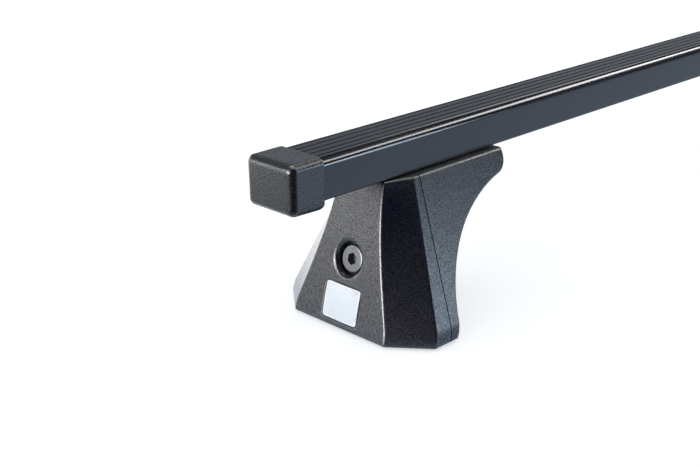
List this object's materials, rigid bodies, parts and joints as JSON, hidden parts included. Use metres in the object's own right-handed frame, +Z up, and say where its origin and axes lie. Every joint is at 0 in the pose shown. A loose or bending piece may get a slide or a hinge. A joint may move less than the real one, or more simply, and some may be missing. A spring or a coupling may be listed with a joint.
{
  "type": "roof rack crossbar",
  "caption": "Roof rack crossbar: square steel tube in a ribbed plastic sheath with end caps, on wedge-shaped sliding clamp feet with a key screw in each front face.",
  "frame": {"origin": "middle of the bar's length and width, on the surface that the feet stand on", "axes": "+X along the bar, +Z up; the two feet are the same part turned end for end"},
  "size_m": [1.185, 0.1106, 0.1053],
  "materials": {
    "tube_steel": "galvanised",
    "sheath_plastic": "satin extruded black",
    "cap_plastic": "fine grained black",
    "moulded_cover": "fine grained black",
    "badge": "glossy domed, blank",
    "zinc_steel": "zinc plated",
    "bolt_steel": "zinc plated",
    "screw_steel": "black oxide",
    "pad_rubber": "matt"
  },
  "bodies": {
    "bar": {"bar_tube": "tube_steel", "bar_sheath": "sheath_plastic", "left_end_cap": "cap_plastic", "right_end_cap": "cap_plastic"},
    "left_foot": {"left_outer_cover": "moulded_cover", "left_inner_cover": "moulded_cover", "left_badge_plate": "badge", "left_bracket": "zinc_steel", "left_screw_washer": "zinc_steel", "left_nut_plate": "zinc_steel", "left_bar_bolts": "bolt_steel", "left_bar_washers": "zinc_steel", "left_sole_plate": "zinc_steel", "left_sole_screws": "bolt_steel", "left_cover_screws": "bolt_steel", "left_base_pad": "pad_rubber"},
    "left_screw": {"left_tension_screw": "screw_steel"},
    "left_carrier": {"left_clamp_carrier": "zinc_steel"},
    "right_foot": {"right_outer_cover": "moulded_cover", "right_inner_cover": "moulded_cover", "right_badge_plate": "badge", "right_bracket": "zinc_steel", "right_screw_washer": "zinc_steel", "right_nut_plate": "zinc_steel", "right_bar_bolts": "bolt_steel", "right_bar_washers": "zinc_steel", "right_sole_plate": "zinc_steel", "right_sole_screws": "bolt_steel", "right_cover_screws": "bolt_steel", "right_base_pad": "pad_rubber"},
    "right_screw": {"right_tension_screw": "screw_steel"},
    "right_carrier": {"right_clamp_carrier": "zinc_steel"}
  },
  "joints": [
    {"name": "left_foot_slide", "type": "slide", "parent": "bar", "child": "left_foot", "axis": [1, 0, 0], "range_m": [-0.025, 0.09]},
    {"name": "left_screw_turn", "type": "hinge", "parent": "left_foot", "child": "left_screw", "pos_m": [-0.53977, 0, 0.03874], "axis": [0.9701, 0, -0.2425], "range_deg": [0, 1800]},
    {"name": "left_carrier_slide", "type": "slide", "parent": "left_foot", "child": "left_carrier", "axis": [-0.9701, 0, 0.2425], "range_m": [0, 0.00625]},
    {"name": "right_foot_slide", "type": "slide", "parent": "bar", "child": "right_foot", "axis": [-1, 0, 0], "range_m": [-0.025, 0.09]},
    {"name": "right_screw_turn", "type": "hinge", "parent": "right_foot", "child": "right_screw", "pos_m": [0.53977, 0, 0.03874], "axis": [-0.9701, 0, -0.2425], "range_deg": [0, 1800]},
    {"name": "right_carrier_slide", "type": "slide", "parent": "right_foot", "child": "right_carrier", "axis": [0.9701, 0, 0.2425], "range_m": [0, 0.00625]}
  ],
  "couplings": [
    {"joint": "left_screw_turn", "follows": "left_carrier_slide", "rad_per_m": 5026.5},
    {"joint": "right_screw_turn", "follows": "right_carrier_slide", "rad_per_m": 5026.5}
  ]
}
